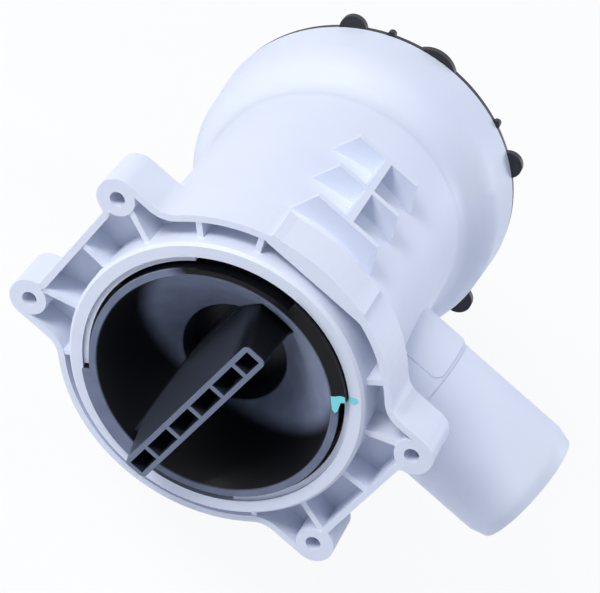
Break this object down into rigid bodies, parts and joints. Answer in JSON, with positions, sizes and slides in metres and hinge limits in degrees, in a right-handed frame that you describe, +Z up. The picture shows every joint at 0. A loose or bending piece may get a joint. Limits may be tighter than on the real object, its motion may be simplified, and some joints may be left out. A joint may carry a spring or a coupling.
{
  "type": "washer drain pump",
  "caption": "Drain pump of a washer: flanged filter housing with a side hose pipe, twist-lock lint filter behind a dished cap, and a motor-driven impeller at the back.",
  "frame": {"origin": "centre of the four ear screws, on the filter's axis, in the plane of the ears' front faces", "axes": "+Y back along the filter's axis to the motor, +X the way the inlet pipe leaves, +Z up with the flange's flat side on top"},
  "size_m": [0.1418, 0.1779, 0.1222],
  "materials": {
    "housing_plastic": "satin moulding",
    "cap_plastic": "satin black moulding",
    "seal_rubber": "smooth",
    "basket_plastic": "satin moulding",
    "motor_plastic": "satin black moulding",
    "carrier_plastic": "satin moulding",
    "bush_bronze": "sintered",
    "shaft_steel": "ground",
    "magnet_ferrite": "ground",
    "washer_plastic": "plain",
    "impeller_plastic": "satin moulding",
    "core_steel": "stacked sheet",
    "fastener_steel": "zinc plated",
    "bobbin_plastic": "plain",
    "winding_wire": "enamelled wire",
    "terminal_brass": "tinned"
  },
  "bodies": {
    "housing": {"pump_housing": "housing_plastic", "motor_flange": "motor_plastic", "flange_seal": "seal_rubber", "bearing_carrier": "carrier_plastic", "front_bearing": "bush_bronze", "rear_bearing": "bush_bronze", "front_bearing_mount": "seal_rubber", "rear_bearing_mount": "seal_rubber", "shaft_seal": "seal_rubber", "stator_core": "core_steel", "core_rivets": "fastener_steel", "core_screws": "fastener_steel", "left_bobbin": "bobbin_plastic", "right_bobbin": "bobbin_plastic", "left_winding": "winding_wire", "right_winding": "winding_wire", "coil_cover": "motor_plastic", "terminal_blades": "terminal_brass"},
    "filter_insert": {"strainer_basket": "basket_plastic"},
    "cap": {"filter_cap": "cap_plastic", "cap_seal": "seal_rubber"},
    "rotor": {"rotor_shaft": "shaft_steel", "rotor_magnet": "magnet_ferrite", "thrust_washers": "washer_plastic", "retaining_clip": "fastener_steel", "impeller_driver": "impeller_plastic"},
    "impeller": {"impeller": "impeller_plastic"}
  },
  "joints": [
    {"name": "filter_pull", "type": "slide", "parent": "housing", "child": "filter_insert", "axis": [0, -1, 0], "range_m": [0, 0.09]},
    {"name": "cap_turn", "type": "hinge", "parent": "filter_insert", "child": "cap", "pos_m": [0, 0, 0], "axis": [0, -1, 0], "range_deg": [0, 44.5]},
    {"name": "rotor_spin", "type": "hinge", "parent": "housing", "child": "rotor", "pos_m": [0, 0.13, 0], "axis": [0, 1, 0], "continuous": true},
    {"name": "impeller_play", "type": "hinge", "parent": "rotor", "child": "impeller", "pos_m": [0, 0.098, 0], "axis": [0, -1, 0], "range_deg": [0, 230]}
  ]
}
